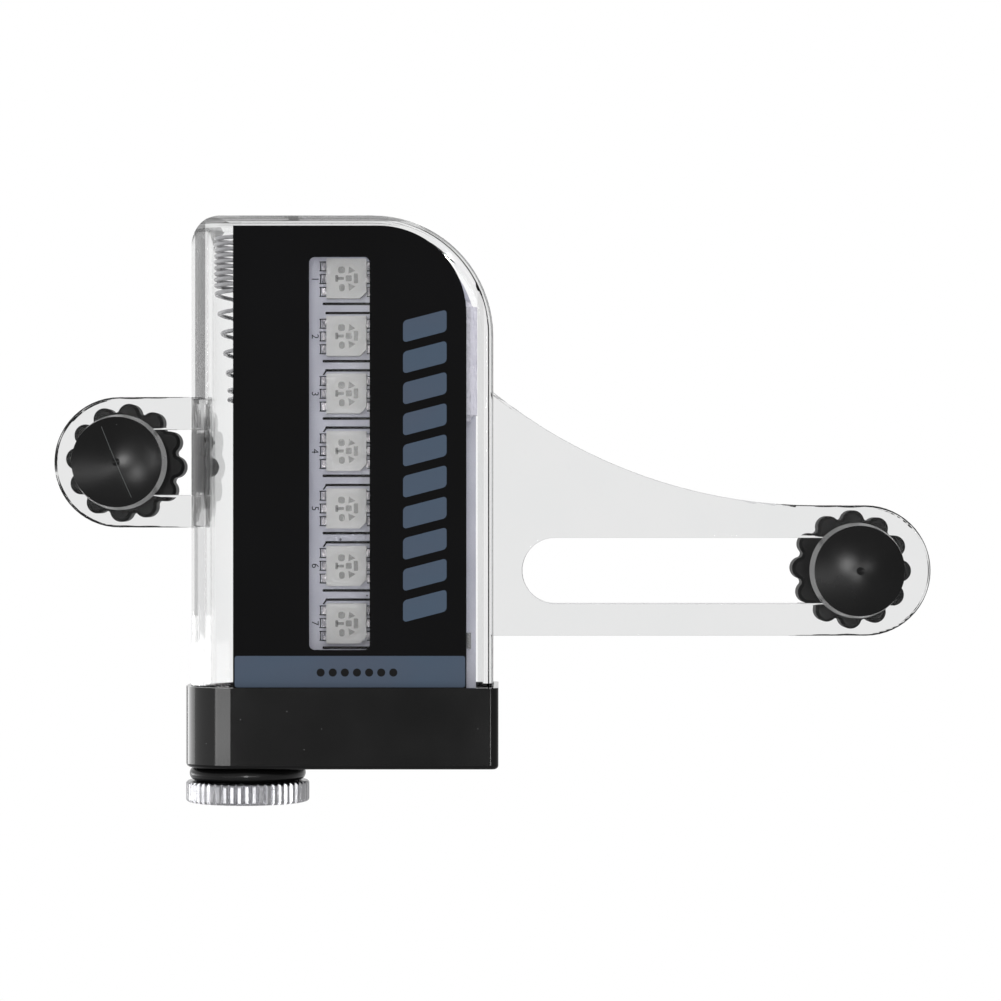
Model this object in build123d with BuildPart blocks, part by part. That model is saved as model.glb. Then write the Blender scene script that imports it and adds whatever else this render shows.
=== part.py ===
from build123d import *
from math import cos, pi, sin, sqrt

# Spoke wheel light, standing upright with its front towards -Y.
# All sizes are in millimetres and all angles in degrees.
# The origin is the middle of the left spoke seat, where the spoke runs along Z.

# Spoke seats and clamp bolts
spoke_seat_radius = 1.25
shank_radius = 3.9
head_radius = 6.0
head_height = 3.9
head_side_height = 3.0
head_taper = 0.35
head_dome_radius = 24.0
head_dimple_radius = 0.5
head_dimple_depth = 0.15
head_clearance = 0.05
shank_past_nut = 0.4
shank_end_chamfer = 0.4

# Star nuts
nut_radius = 7.55
nut_lobe_radius = 1.4
nut_root_radius = 6.5
nut_root_fillet = 0.45
nut_thickness = 4.8
nut_edge_chamfer = 0.4
nut_recess_radius = 5.3
nut_recess_depth = 1.0
nut_bore_clearance = 0.05
nut_open_gap = 4.25
nut_lobe_count = 12
left_nut_turn = 25.3
right_nut_turn = 28.5

# Arms
arm_thickness = 2.5
arm_rim_width = 4.1
arm_edge_radius = 0.3
slot_clearance = 0.2
left_arm_reach = 9.12
right_slot_start = 7.75
right_slot_length = 39.0
right_seat_inset = 1.05
right_seat_rise = 14.4
right_arm_rise = 22.4
right_arm_straight = 6.25

# Clear shell
shell_width = 37.85
shell_thickness = 14.0
shell_top = 30.6
shell_show_height = 58.6
shell_wall = 1.3
shell_tube_corner = 5.2
shell_board_corner = 1.0
shell_top_tube_corner = 4.0
shell_top_board_corner = 15.0

# Battery tube
cell_radius = 5.25
cell_clearance = 0.3
tube_wall = 1.37
tube_partition = 1.0
pocket_step = 0.2
pocket_ceiling = 1.4

# Base and its metal collar
base_height = 10.1
base_end_wall = 0.65
base_face_wall = 0.8
base_tube_corner = 6.0
base_board_corner = 1.0
base_bottom_edge = 0.5
base_recess_depth = 4.0
base_fit = 0.05
collar_thread_radius = 5.95
collar_wall = 0.45
collar_flange_width = 0.3
collar_flange_height = 0.8
collar_tongue_width = 1.7
collar_tongue_reach = 2.4
collar_lead_thickness = 0.4
collar_lead_height = 2.6
collar_lead_width = 1.2

# Battery cap and its sealing ring
cap_head_radius = 7.74
cap_head_height = 2.6
cap_edge_radius = 0.35
cap_plug_length = 6.1
cap_thread_clearance = 0.05
cap_end_chamfer = 0.5
cap_recess_radius = 4.4
cap_recess_depth = 0.6
cap_flute_count = 52
cap_flute_depth = 0.28
ring_gap = 1.9
ring_section_radius = 0.9
ring_outer_radius = 7.3
ring_clearance = 0.1

# Circuit board
board_thickness = 1.6
board_fit = 0.1
board_side_gap = 0.4
board_wall_gap = 0.9
board_top_gap = 0.4
board_foot = 1.0
rail_height = 1.2
rail_thickness = 0.8

# Light emitting diodes, seven on each side of the board
led_count = 7
led_bottom_rise = 7.8
led_size = 5.0
led_height = 1.5
led_notch = 0.8
led_lens_radius = 1.95
led_lens_depth = 0.35
led_lens_sink = 0.05
led_column_inset = 19.45
led_top_drop = 7.6
lead_width = 0.9
lead_pitch = 1.6
lead_count = 3
lead_thickness = 0.2
lead_rise = 0.8
lead_foot = 0.4

# Labels on the front and back faces
label_thickness = 0.15
label_tube_margin = 5.63
label_board_margin = 3.32
label_top_margin = 1.35
label_small_corner = 0.6
label_top_corner = 10.9
window_width = 7.5
window_rise = 4.7
window_corner = 0.7
window_side = 9.42
window_drop = 3.9

# Spring of the battery tube
wire_radius = 0.26
spring_top_radius = 4.5
spring_tip_radius = 3.05
close_turns = 6.5
close_coil_step = 0.96
open_turns = 5.0
open_coil_step = 2.5
tip_turns = 1.5
tip_coil_step = 1.25
spring_top_drop = 1.1
tail_bend_radius = 1.0
tail_past_partition = 2.6
solder_height = 0.5
solder_radius = 0.7

# Parts on the board under the label
chip_length = 4.9
chip_width = 3.9
chip_height = 1.5
chip_leg_width = 0.42
chip_leg_pitch = 1.27
chip_leg_reach = 1.0
chip_leg_thickness = 0.2
chip_leg_count = 4
chip_rise = 22.6
coil_radius = 2.6
coil_height = 2.4
coil_core_radius = 1.5
coil_flange = 0.5
coil_rise = 11.6
switch_radius = 1.7
switch_length = 7.0
switch_pin_radius = 0.25
switch_pin_length = 1.6
switch_drop = 17.0
switch_gap = 0.4
resistor_length = 2.0
resistor_width = 1.25
resistor_height = 0.5
resistor_side_gap = 0.6
resistor_count = 4
resistor_rise = 5.6
foam_drop = 10.5
foam_chip_gap = 7.95
foam_switch_gap = 0.9
foam_side_gap = 0.7
foam_corner = 0.4
foam_squeeze_gap = 0.05

overrun = 1.0

# Places worked out from the driving sizes
plate_back_y = -spoke_seat_radius
mid_y = plate_back_y - arm_thickness / 2
plate_front_y = plate_back_y - arm_thickness
slot_radius = shank_radius + slot_clearance
arm_end_radius = slot_radius + arm_rim_width

shell_left = left_arm_reach
shell_right = shell_left + shell_width
shell_mid_x = (shell_left + shell_right) / 2
shell_front_y = mid_y - shell_thickness / 2
shell_back_y = mid_y + shell_thickness / 2
base_top = shell_top - shell_show_height
base_bottom = base_top - base_height
recess_floor = base_top - base_recess_depth
shell_bottom = recess_floor

right_slot_left = shell_right + right_slot_start
right_slot_right = right_slot_left + right_slot_length
right_seat_x = right_slot_right - right_seat_inset
right_seat_z = base_top + right_seat_rise

bore_radius = cell_radius + cell_clearance
tube_x = shell_left + tube_wall + bore_radius
pocket_radius = bore_radius - pocket_step
pocket_top = shell_top - pocket_ceiling
spring_top_z = pocket_top - spring_top_drop
spring_fall = close_turns * close_coil_step + open_turns * open_coil_step + tip_turns * tip_coil_step
spring_tip_z = spring_top_z - spring_fall
pocket_floor = spring_tip_z - wire_radius

chamber_left = tube_x + bore_radius + tube_partition
chamber_right = shell_right - shell_wall
chamber_top = shell_top - shell_wall
chamber_front_y = shell_front_y + shell_wall
chamber_back_y = shell_back_y - shell_wall

board_left = chamber_left + board_side_gap
board_right = chamber_right - board_wall_gap
board_top = chamber_top - board_top_gap
board_bottom = recess_floor - board_foot
board_front_y = mid_y - board_thickness / 2
board_back_y = mid_y + board_thickness / 2


def front_plane(y):
    """Upright plane at depth y, facing the front, with X across and Z up."""
    return Plane.XZ.offset(-y)


def section(z, grow, board_corner):
    """Level outline of the shell, grown all round, rounder at the battery tube."""
    with BuildSketch(Plane.XY.offset(z)) as outline:
        with Locations((shell_mid_x, mid_y)):
            Rectangle(shell_width + 2 * grow, shell_thickness + 2 * grow)
        fillet(outline.vertices().group_by(Axis.X)[0], shell_tube_corner + grow)
        if board_corner:
            fillet(outline.vertices().group_by(Axis.X)[-1], board_corner)
    return outline.sketch


def upright_panel(y, left, right, bottom, top, corner):
    """Upright rectangle seen from the front, with its top right corner rounded."""
    with BuildSketch(front_plane(y)) as outline:
        with Locations(((left + right) / 2, (bottom + top) / 2)):
            Rectangle(right - left, top - bottom)
        fillet(outline.vertices().group_by(Axis.Y)[-1].sort_by(Axis.X)[-1], corner)
    return outline.sketch


# Clear shell: battery tube, board chamber and both arms in one moulding
tail_y = mid_y - spring_top_radius
slit_width = 2 * (wire_radius + cell_clearance)
rail_offset = board_thickness / 2 + board_fit + rail_thickness / 2
with BuildPart() as clear_shell:
    with BuildSketch(front_plane(shell_back_y)) as front_outline:
        with Locations((shell_mid_x, (shell_top + shell_bottom) / 2)):
            Rectangle(shell_width, shell_top - shell_bottom)
        top_corners = front_outline.vertices().group_by(Axis.Y)[-1]
        fillet(top_corners.sort_by(Axis.X)[0], shell_top_tube_corner)
        top_corners = front_outline.vertices().group_by(Axis.Y)[-1]
        fillet(top_corners.sort_by(Axis.X)[-1], shell_top_board_corner)
    extrude(amount=shell_thickness)
    flat_edges = clear_shell.faces().filter_by(Axis.Y).edges()
    rim_edges = flat_edges.filter_by(lambda edge: edge.center().Z > base_top)
    fillet(rim_edges, shell_board_corner)
    extrude(
        section(shell_bottom, 0, 0),
        amount=shell_top - shell_bottom,
        mode=Mode.INTERSECT,
    )
    # chamber for the circuit board, with its top right corner following the shell
    extrude(
        upright_panel(
            chamber_front_y,
            chamber_left,
            chamber_right,
            shell_bottom - overrun,
            chamber_top,
            shell_top_board_corner - shell_wall,
        ),
        amount=chamber_front_y - chamber_back_y,
        mode=Mode.SUBTRACT,
    )
    # rails on the partition that hold the board's edge
    with BuildSketch(Plane.XY.offset(shell_bottom)):
        with Locations((chamber_left, mid_y)):
            with GridLocations(0, 2 * rail_offset, 1, 2):
                Rectangle(2 * rail_height, rail_thickness)
    extrude(amount=chamber_top - shell_bottom)
    # battery bore, and the narrower pocket that the spring is pushed into
    with BuildSketch(Plane.XY.offset(shell_bottom)):
        with Locations((tube_x, mid_y)):
            Circle(bore_radius)
    extrude(amount=pocket_floor - shell_bottom, mode=Mode.SUBTRACT)
    with BuildSketch(Plane.XY.offset(pocket_floor)):
        with Locations((tube_x, mid_y)):
            Circle(pocket_radius)
    extrude(amount=pocket_top - pocket_floor, mode=Mode.SUBTRACT)
    # slit in the partition that the spring's tail is slid up
    with BuildSketch(Plane.XY.offset(shell_bottom)):
        with Locations(((tube_x + chamber_left) / 2, tail_y)):
            Rectangle(chamber_left - tube_x + rail_height, slit_width)
    extrude(amount=spring_top_z + slit_width / 2 - shell_bottom, mode=Mode.SUBTRACT)
    # left arm, with a slot that is open as far as the shell's wall
    with BuildSketch(front_plane(plate_back_y)):
        Circle(arm_end_radius)
        with Locations(((left_arm_reach + tube_wall / 2) / 2, 0)):
            Rectangle(left_arm_reach + tube_wall / 2, 2 * arm_end_radius)
    extrude(amount=arm_thickness)
    with BuildSketch(front_plane(plate_back_y)):
        Circle(slot_radius)
        with Locations((left_arm_reach / 2, 0)):
            Rectangle(left_arm_reach, 2 * slot_radius)
    extrude(amount=arm_thickness, mode=Mode.SUBTRACT)
    # right arm, swept up to the shell in one hollow curve
    with BuildSketch(front_plane(plate_back_y)):
        with BuildLine():
            root_x = shell_right - shell_wall / 2
            arm_top = right_seat_z + arm_end_radius
            arm_foot = right_seat_z - arm_end_radius
            curve_end = (right_slot_right - right_arm_straight, arm_top)
            root_top = right_arm_rise + right_seat_z
            TangentArc(curve_end, (shell_right, root_top), tangent=(-1, 0))
            Polyline(
                (shell_right, root_top),
                (root_x, root_top),
                (root_x, arm_foot),
                (right_slot_right, arm_foot),
            )
            ThreePointArc(
                (right_slot_right, arm_foot),
                (right_slot_right + arm_end_radius, right_seat_z),
                (right_slot_right, arm_top),
            )
            Line((right_slot_right, arm_top), curve_end)
        make_face()
    extrude(amount=arm_thickness)
    with BuildSketch(front_plane(plate_back_y)):
        with Locations(((right_slot_left + right_slot_right) / 2, right_seat_z)):
            SlotCenterToCenter(right_slot_length, 2 * slot_radius)
    extrude(amount=arm_thickness, mode=Mode.SUBTRACT)
    # both arms' edges, all but the lines where they meet the shell's wall
    arm_faces = clear_shell.faces().filter_by(Axis.Y).filter_by(
        lambda face: abs(face.center().X - shell_mid_x) > shell_width / 2
    )
    arm_edges = arm_faces.edges().filter_by(
        lambda edge: abs(edge.center().X - shell_mid_x) > shell_width / 2 + arm_edge_radius
    )
    fillet(arm_edges, arm_edge_radius)
clear_shell.part.label = "clear_shell"
export_step(clear_shell.part, "parts/clear_shell.step")

# Base: black moulding that closes the shell and carries the threaded collar
collar_radius = collar_thread_radius + collar_wall
flange_radius = collar_radius + collar_flange_width
flange_bottom = recess_floor - collar_flange_height
tongue_y = board_front_y - collar_tongue_width / 2 - board_fit
tongue_end = board_left + collar_tongue_reach
with BuildPart() as base:
    with BuildSketch(Plane.XY.offset(base_bottom)) as base_outline:
        with Locations((shell_mid_x, mid_y)):
            Rectangle(
                shell_width + 2 * base_end_wall,
                shell_thickness + 2 * base_face_wall,
            )
        fillet(base_outline.vertices().group_by(Axis.X)[0], base_tube_corner)
        fillet(base_outline.vertices().group_by(Axis.X)[-1], base_board_corner)
    extrude(amount=base_height)
    fillet(base.faces().sort_by(Axis.Z)[0].edges(), base_bottom_edge)
    extrude(
        section(recess_floor, base_fit, shell_board_corner + base_fit),
        amount=base_recess_depth,
        mode=Mode.SUBTRACT,
    )
    with BuildSketch(Plane.XY.offset(board_bottom)):
        with Locations(((board_left + board_right) / 2, mid_y)):
            Rectangle(board_right - board_left + 2 * board_fit, board_thickness + 2 * board_fit)
    extrude(amount=recess_floor - board_bottom, mode=Mode.SUBTRACT)
    with BuildSketch(Plane.XY.offset(base_bottom)):
        with Locations((tube_x, mid_y)):
            Circle(collar_radius + base_fit)
    extrude(amount=base_height, mode=Mode.SUBTRACT)
    with BuildSketch(Plane.XY.offset(flange_bottom)):
        with Locations((tube_x, mid_y)):
            Circle(flange_radius + base_fit)
        with Locations(((tube_x + tongue_end) / 2, tongue_y)):
            Rectangle(tongue_end - tube_x + 2 * base_fit, collar_tongue_width + 2 * base_fit)
    extrude(amount=collar_flange_height, mode=Mode.SUBTRACT)
base.part.label = "base"
export_step(base.part, "parts/base.step")

# Threaded collar: metal ring in the base, with a tongue for the board's lead
with BuildPart() as threaded_collar:
    with BuildSketch(Plane.XY.offset(base_bottom)):
        with Locations((tube_x, mid_y)):
            Circle(collar_radius)
    extrude(amount=recess_floor - base_bottom)
    with BuildSketch(Plane.XY.offset(flange_bottom)):
        with Locations((tube_x, mid_y)):
            Circle(flange_radius)
        with Locations(((tube_x + tongue_end) / 2, tongue_y)):
            Rectangle(tongue_end - tube_x, collar_tongue_width)
    extrude(amount=collar_flange_height)
    with BuildSketch(Plane.XY.offset(base_bottom)):
        with Locations((tube_x, mid_y)):
            Circle(collar_thread_radius)
    extrude(amount=recess_floor - base_bottom, mode=Mode.SUBTRACT)
threaded_collar.part.label = "threaded_collar"
export_step(threaded_collar.part, "parts/threaded_collar.step")

# Lead from the collar's tongue up to the front of the board
lead_x = tongue_end - collar_lead_width
with BuildPart() as collar_lead:
    with BuildSketch(Plane.YZ.offset(lead_x)):
        foot_y = tongue_y - collar_tongue_width / 2
        with BuildLine():
            Polyline(
                (foot_y, recess_floor),
                (board_front_y, recess_floor),
                (board_front_y, recess_floor + collar_lead_height),
                (board_front_y - collar_lead_thickness, recess_floor + collar_lead_height),
                (board_front_y - collar_lead_thickness, recess_floor + collar_lead_thickness),
                (foot_y, recess_floor + collar_lead_thickness),
                close=True,
            )
        make_face()
    extrude(amount=collar_lead_width)
collar_lead.part.label = "collar_lead"
export_step(collar_lead.part, "parts/collar_lead.step")

# Battery cap: knurled head, neck for the sealing ring and threaded plug
head_top = base_bottom - ring_gap
head_bottom = head_top - cap_head_height
neck_radius = ring_outer_radius - 2 * ring_section_radius - ring_clearance
plug_radius = collar_thread_radius - cap_thread_clearance
plug_top = base_bottom + cap_plug_length
with BuildPart() as battery_cap:
    with BuildSketch(Plane.XY.offset(head_bottom)):
        with Locations((tube_x, mid_y)):
            Circle(cap_head_radius)
    extrude(amount=cap_head_height)
    fillet(battery_cap.edges().filter_by(GeomType.CIRCLE), cap_edge_radius)
    with BuildSketch(Plane.XY.offset(head_bottom)):
        with Locations((tube_x, mid_y)):
            with PolarLocations(cap_head_radius + cap_flute_depth, cap_flute_count):
                RegularPolygon(2 * cap_flute_depth, 4)
    extrude(amount=cap_head_height, mode=Mode.SUBTRACT)
    with BuildSketch(Plane.XY.offset(head_top)):
        with Locations((tube_x, mid_y)):
            Circle(neck_radius)
    extrude(amount=ring_gap)
    with BuildSketch(Plane.XY.offset(base_bottom)):
        with Locations((tube_x, mid_y)):
            Circle(plug_radius)
    extrude(amount=cap_plug_length)
    chamfer(battery_cap.faces().sort_by(Axis.Z)[-1].edges(), cap_end_chamfer)
    with BuildSketch(Plane.XY.offset(plug_top)):
        with Locations((tube_x, mid_y)):
            Circle(cap_recess_radius)
    extrude(amount=-cap_recess_depth, mode=Mode.SUBTRACT)
battery_cap.part.label = "battery_cap"
export_step(battery_cap.part, "parts/battery_cap.step")

# Sealing ring that stays in the cap's neck
with BuildPart() as o_ring:
    with Locations((tube_x, mid_y, base_bottom - ring_gap / 2)):
        Torus(ring_outer_radius - ring_section_radius, ring_section_radius)
o_ring.part.label = "o_ring"
export_step(o_ring.part, "parts/o_ring.step")

# Circuit board between the two rows of lights
with BuildPart() as circuit_board:
    extrude(
        upright_panel(
            board_front_y,
            board_left,
            board_right,
            board_bottom,
            board_top,
            shell_top_board_corner - shell_wall - board_wall_gap,
        ),
        amount=-board_thickness,
    )
circuit_board.part.label = "circuit_board"
export_step(circuit_board.part, "parts/circuit_board.step")

# Light emitting diodes: package, lens and legs, alike on both faces of the board
led_column_x = shell_left + led_column_inset
led_right = led_column_x + led_size / 2 + lead_thickness + lead_foot
led_top_z = shell_top - led_top_drop
led_pitch = (led_top_z - base_top - led_bottom_rise) / (led_count - 1)
led_heights = [led_top_z - led * led_pitch for led in range(led_count)]
led_places = [(led_column_x, height) for height in led_heights]
led_front_y = board_front_y - led_height
middle_plane = front_plane(mid_y)
with BuildPart() as led_packages_front:
    with BuildSketch(front_plane(board_front_y)) as packages:
        with Locations(*led_places):
            Rectangle(led_size, led_size)
        right_corners = packages.vertices().group_by(Axis.X)[-1].sort_by(Axis.Y)
        chamfer(right_corners[::2], led_notch)
    extrude(amount=led_height)
    with BuildSketch(front_plane(led_front_y)):
        with Locations(*led_places):
            Circle(led_lens_radius)
    extrude(amount=-led_lens_depth, mode=Mode.SUBTRACT)
with BuildPart() as led_lenses_front:
    with BuildSketch(front_plane(led_front_y + led_lens_sink)):
        with Locations(*led_places):
            Circle(led_lens_radius)
    extrude(amount=led_lens_sink - led_lens_depth)
with BuildPart() as led_leads_front:
    package_side = led_column_x - led_size / 2
    for height in led_heights:
        for leg in range(lead_count):
            leg_z = height + (leg - (lead_count - 1) / 2) * lead_pitch - lead_width / 2
            with BuildSketch(Plane.XY.offset(leg_z)):
                with BuildLine():
                    Polyline(
                        (package_side, board_front_y),
                        (package_side - lead_thickness - lead_foot, board_front_y),
                        (package_side - lead_thickness - lead_foot, board_front_y - lead_thickness),
                        (package_side - lead_thickness, board_front_y - lead_thickness),
                        (package_side - lead_thickness, board_front_y - lead_rise),
                        (package_side, board_front_y - lead_rise),
                        close=True,
                    )
                make_face()
                mirror(about=Plane.YZ.offset(led_column_x))
            extrude(amount=lead_width)
with BuildPart() as led_packages_back:
    mirror(led_packages_front.part, about=middle_plane)
with BuildPart() as led_lenses_back:
    mirror(led_lenses_front.part, about=middle_plane)
with BuildPart() as led_leads_back:
    mirror(led_leads_front.part, about=middle_plane)
led_rows = {
    "led_packages_front": led_packages_front,
    "led_lenses_front": led_lenses_front,
    "led_leads_front": led_leads_front,
    "led_packages_back": led_packages_back,
    "led_lenses_back": led_lenses_back,
    "led_leads_back": led_leads_back,
}
for row_name, row in led_rows.items():
    row.part.label = row_name
    export_step(row.part, f"parts/{row_name}.step")

# Labels: thin sheets on both faces, each with a window over its row of lights
label_left = shell_left + label_tube_margin
label_top = shell_top - label_top_margin
window_left = label_left + window_side
window_top = label_top - window_drop
window_height = window_top - base_top - window_rise
label_width = shell_width - label_tube_margin - label_board_margin
with BuildPart() as front_label:
    with BuildSketch(front_plane(shell_front_y)) as label_outline:
        with Locations((label_left + label_width / 2, (label_top + base_top) / 2)):
            Rectangle(label_width, label_top - base_top)
        left_corners = label_outline.vertices().group_by(Axis.X)[0]
        right_corners = label_outline.vertices().group_by(Axis.X)[-1]
        fillet(right_corners.sort_by(Axis.Y)[-1], label_top_corner)
        fillet(left_corners, label_small_corner)
        with Locations((window_left + window_width / 2, window_top - window_height / 2)):
            RectangleRounded(window_width, window_height, window_corner, mode=Mode.SUBTRACT)
    extrude(amount=label_thickness)
front_label.part.label = "front_label"
export_step(front_label.part, "parts/front_label.step")
with BuildPart() as back_label:
    mirror(front_label.part, about=middle_plane)
back_label.part.label = "back_label"
export_step(back_label.part, "parts/back_label.step")


def spring_radius(turn):
    """Radius of the spring after so many turns: even, then drawn in to its tip."""
    share = min(max((turn - close_turns) / open_turns, 0), 1)
    return spring_top_radius + share * (spring_tip_radius - spring_top_radius)


def spring_height(turn):
    """Height of the spring after so many turns: close coils, open coils, tip coils."""
    close = min(turn, close_turns)
    open_part = min(max(turn - close_turns, 0), open_turns)
    tip = max(turn - close_turns - open_turns, 0)
    fall = close * close_coil_step + open_part * open_coil_step + tip * tip_coil_step
    return spring_top_z - fall


def spring_point(turn):
    """Middle of the wire after so many turns, from the front of the top coil."""
    angle = 2 * pi * turn
    radius = spring_radius(turn)
    x = tube_x - radius * sin(angle)
    y = mid_y - radius * cos(angle)
    return Vector(x, y, spring_height(turn))


def spring_direction(turn):
    """Way the wire runs after so many turns, from two points close to it."""
    step = 1 / 16
    return (spring_point(turn + step) - spring_point(turn - step)).normalized()


def biarc(start, start_way, end, end_way):
    """Two arcs that leave start along start_way and reach end along end_way."""
    chord = end - start
    ways = start_way + end_way
    lean = 2 * (1 - start_way.dot(end_way))
    reach = (sqrt(chord.dot(ways) ** 2 + lean * chord.dot(chord)) - chord.dot(ways)) / lean
    joint = (start + end + (start_way - end_way) * reach) / 2
    joint_way = (end - end_way * reach) - (start + start_way * reach)
    TangentArc(start, joint, tangent=start_way)
    TangentArc(joint, end, tangent=joint_way)


# Battery spring: one wire from the board, through the partition and down the tube
spring_turns = close_turns + open_turns + tip_turns
tail_corner_x = chamber_left + tail_past_partition
solder_y = board_front_y - solder_height
with BuildPart() as battery_spring:
    with BuildLine() as wire_line:
        half_turns = round(2 * spring_turns)
        tail_start = Vector(tail_corner_x, solder_y, spring_top_z)
        bend_start = Vector(tail_corner_x, tail_y + tail_bend_radius, spring_top_z)
        bend_end = Vector(tail_corner_x - tail_bend_radius, tail_y, spring_top_z)
        Line(tail_start, bend_start)
        TangentArc(bend_start, bend_end, tangent=(0, -1, 0))
        place = spring_point(0)
        Line(bend_end, place)
        way = Vector(-1, 0, 0)
        for half_turn in range(1, half_turns + 1):
            turn = half_turn * spring_turns / half_turns
            next_place = spring_point(turn)
            next_way = spring_direction(turn)
            biarc(place, way, next_place, next_way)
            place = next_place
            way = next_way
        Line(place, place + way * 2 * wire_radius)
    with BuildSketch(Plane(origin=tail_start, z_dir=(0, -1, 0))):
        Circle(wire_radius)
    sweep(path=wire_line.line)
battery_spring.part.label = "battery_spring"
export_step(battery_spring.part, "parts/battery_spring.step")
wire_length = sum(edge.length for edge in wire_line.edges())
wire_volume = wire_length * pi * wire_radius**2
print("spring: volume", battery_spring.part.volume, "section by length", wire_volume)

# least gap of the wire to itself, measured between points a half turn or more apart
points_per_turn = 24
wire_steps = int(spring_turns * points_per_turn) + 1
wire_points = [spring_point(step / points_per_turn) for step in range(wire_steps)]
least_gap = min(
    (wire_points[second] - wire_points[first]).length - 2 * wire_radius
    for first in range(len(wire_points))
    for second in range(first + points_per_turn // 2, len(wire_points))
)
print("spring: least gap to itself", round(least_gap, 3))

# Solder joint on the board that takes the end of the spring's tail
with BuildPart() as solder_joint:
    with BuildSketch(front_plane(board_front_y)):
        with Locations((tail_corner_x, spring_top_z)):
            Circle(solder_radius)
    with BuildSketch(front_plane(solder_y)):
        with Locations((tail_corner_x, spring_top_z)):
            Circle((solder_radius + wire_radius) / 2)
    loft()
solder_joint.part.label = "solder_joint"
export_step(solder_joint.part, "parts/solder_joint.step")

# Parts of the board behind the label: control chip, coil, motion switch, resistors
parts_x = (led_right + board_right) / 2
board_face = front_plane(board_front_y)
with BuildPart() as controller_chip:
    chip_z = base_top + chip_rise
    with BuildSketch(board_face):
        with Locations((parts_x, chip_z)):
            Rectangle(chip_width, chip_length)
    extrude(amount=chip_height)
    chamfer(controller_chip.faces().sort_by(Axis.Y)[0].edges(), chip_leg_thickness)
    with BuildSketch(board_face):
        with Locations((parts_x, chip_z)):
            with GridLocations(0, chip_leg_pitch, 1, chip_leg_count):
                Rectangle(chip_width + 2 * chip_leg_reach, chip_leg_width)
    extrude(amount=chip_leg_thickness)
controller_chip.part.label = "controller_chip"
export_step(controller_chip.part, "parts/controller_chip.step")

with BuildPart() as boost_coil:
    coil_z = base_top + coil_rise
    for height, radius in ((coil_height, coil_core_radius), (coil_flange, coil_radius)):
        with BuildSketch(board_face):
            with Locations((parts_x, coil_z)):
                Circle(radius)
        extrude(amount=height)
    with BuildSketch(front_plane(board_front_y - coil_height)):
        with Locations((parts_x, coil_z)):
            Circle(coil_radius)
    extrude(amount=-coil_flange)
boost_coil.part.label = "boost_coil"
export_step(boost_coil.part, "parts/boost_coil.step")

with BuildPart() as motion_switch:
    switch_z = shell_top - switch_drop
    switch_x = led_right + switch_gap + switch_radius
    switch_y = board_front_y - switch_radius
    with BuildSketch(Plane.XY.offset(switch_z - switch_length / 2)):
        with Locations((switch_x, switch_y)):
            Circle(switch_radius)
    extrude(amount=switch_length)
    fillet(motion_switch.edges().filter_by(GeomType.CIRCLE), switch_pin_radius)
    with BuildSketch(Plane.XY.offset(switch_z - switch_length / 2 - switch_pin_length)):
        with Locations((switch_x, board_front_y - switch_pin_radius)):
            Circle(switch_pin_radius)
    extrude(amount=switch_length + 2 * switch_pin_length)
motion_switch.part.label = "motion_switch"
export_step(motion_switch.part, "parts/motion_switch.step")

with BuildPart() as chip_resistors:
    resistor_room = board_right - led_right - 2 * resistor_side_gap - resistor_width
    resistor_pitch = resistor_room / (resistor_count - 1)
    with BuildSketch(board_face):
        with Locations((parts_x, base_top + resistor_rise)):
            with GridLocations(resistor_pitch, 0, resistor_count, 1):
                Rectangle(resistor_width, resistor_length)
    extrude(amount=resistor_height)
chip_resistors.part.label = "chip_resistors"
export_step(chip_resistors.part, "parts/chip_resistors.step")

# Foam pad squeezed between the board and the front wall
with BuildPart() as foam_pad:
    pad_right = chamber_right - foam_side_gap
    pad_left = switch_x + switch_radius + foam_switch_gap
    pad_top = shell_top - foam_drop
    pad_bottom = chip_z + chip_length / 2 + foam_chip_gap
    pad_depth = board_front_y - chamber_front_y - foam_squeeze_gap
    with BuildSketch(board_face):
        with Locations(((pad_left + pad_right) / 2, (pad_bottom + pad_top) / 2)):
            RectangleRounded(pad_right - pad_left, pad_top - pad_bottom, foam_corner)
    extrude(amount=pad_depth)
foam_pad.part.label = "foam_pad"
export_step(foam_pad.part, "parts/foam_pad.step")

# Clamp bolts: domed head, shank through the arm's slot, slit for the spoke
head_back_y = plate_front_y - head_clearance
nut_front_y = plate_back_y + nut_open_gap
nut_back_y = nut_front_y + nut_thickness
shank_end_y = nut_back_y + shank_past_nut
for bolt_name, seat_x, seat_z in (
    ("left_clamp_bolt", 0, 0),
    ("right_clamp_bolt", right_seat_x, right_seat_z),
):
    with BuildPart() as clamp_bolt:
        head_front_y = head_back_y - head_height
        side_front_y = head_back_y - head_side_height
        with BuildSketch(Plane.XY.offset(seat_z)) as half_profile:
            with BuildLine():
                Polyline(
                    (seat_x, shank_end_y),
                    (seat_x + shank_radius - shank_end_chamfer, shank_end_y),
                    (seat_x + shank_radius, shank_end_y - shank_end_chamfer),
                    (seat_x + shank_radius, head_back_y),
                    (seat_x + head_radius, head_back_y),
                    (seat_x + head_radius - head_taper, side_front_y),
                )
                RadiusArc(
                    (seat_x + head_radius - head_taper, side_front_y),
                    (seat_x + head_dimple_radius, head_front_y),
                    head_dome_radius,
                )
                Polyline(
                    (seat_x + head_dimple_radius, head_front_y),
                    (seat_x, head_front_y + head_dimple_depth),
                    (seat_x, shank_end_y),
                )
            make_face()
        revolve(axis=Axis((seat_x, 0, seat_z), (0, 1, 0)))
        with BuildSketch(Plane.XY.offset(seat_z - shank_radius - overrun)):
            with Locations((seat_x, 0)):
                Circle(spoke_seat_radius)
            with Locations((seat_x, (shank_end_y + overrun) / 2)):
                Rectangle(2 * spoke_seat_radius, shank_end_y + overrun)
        extrude(amount=2 * (shank_radius + overrun), mode=Mode.SUBTRACT)
    clamp_bolt.part.label = bolt_name
    export_step(clamp_bolt.part, f"parts/{bolt_name}.step")

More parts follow.
